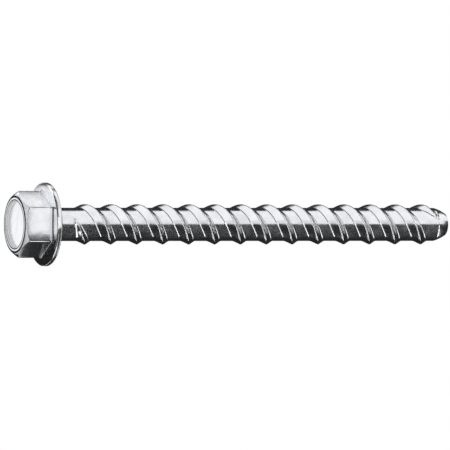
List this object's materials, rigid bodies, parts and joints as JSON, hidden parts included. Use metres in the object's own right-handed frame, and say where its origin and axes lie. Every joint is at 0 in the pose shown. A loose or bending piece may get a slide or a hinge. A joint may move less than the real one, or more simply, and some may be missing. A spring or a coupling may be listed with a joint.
{
  "type": "concrete screw",
  "caption": "Heavy self-tapping masonry screw: hexagonal washer head with a shallow dish in its face, long shank with a coarse helical thread ridge, blunt tip.",
  "frame": {"origin": "centre of the head face, on the surface that the screw stands on", "axes": "+Z along the screw's axis from the head to the tip, X through two opposite corners of the hexagon, Y square to two of its flats"},
  "size_m": [0.016, 0.016, 0.0892],
  "materials": {
    "zinc_plated_steel": "bright zinc plate over cold-formed steel"
  },
  "bodies": {
    "root": {"concrete_screw": "zinc_plated_steel"}
  },
  "joints": []
}
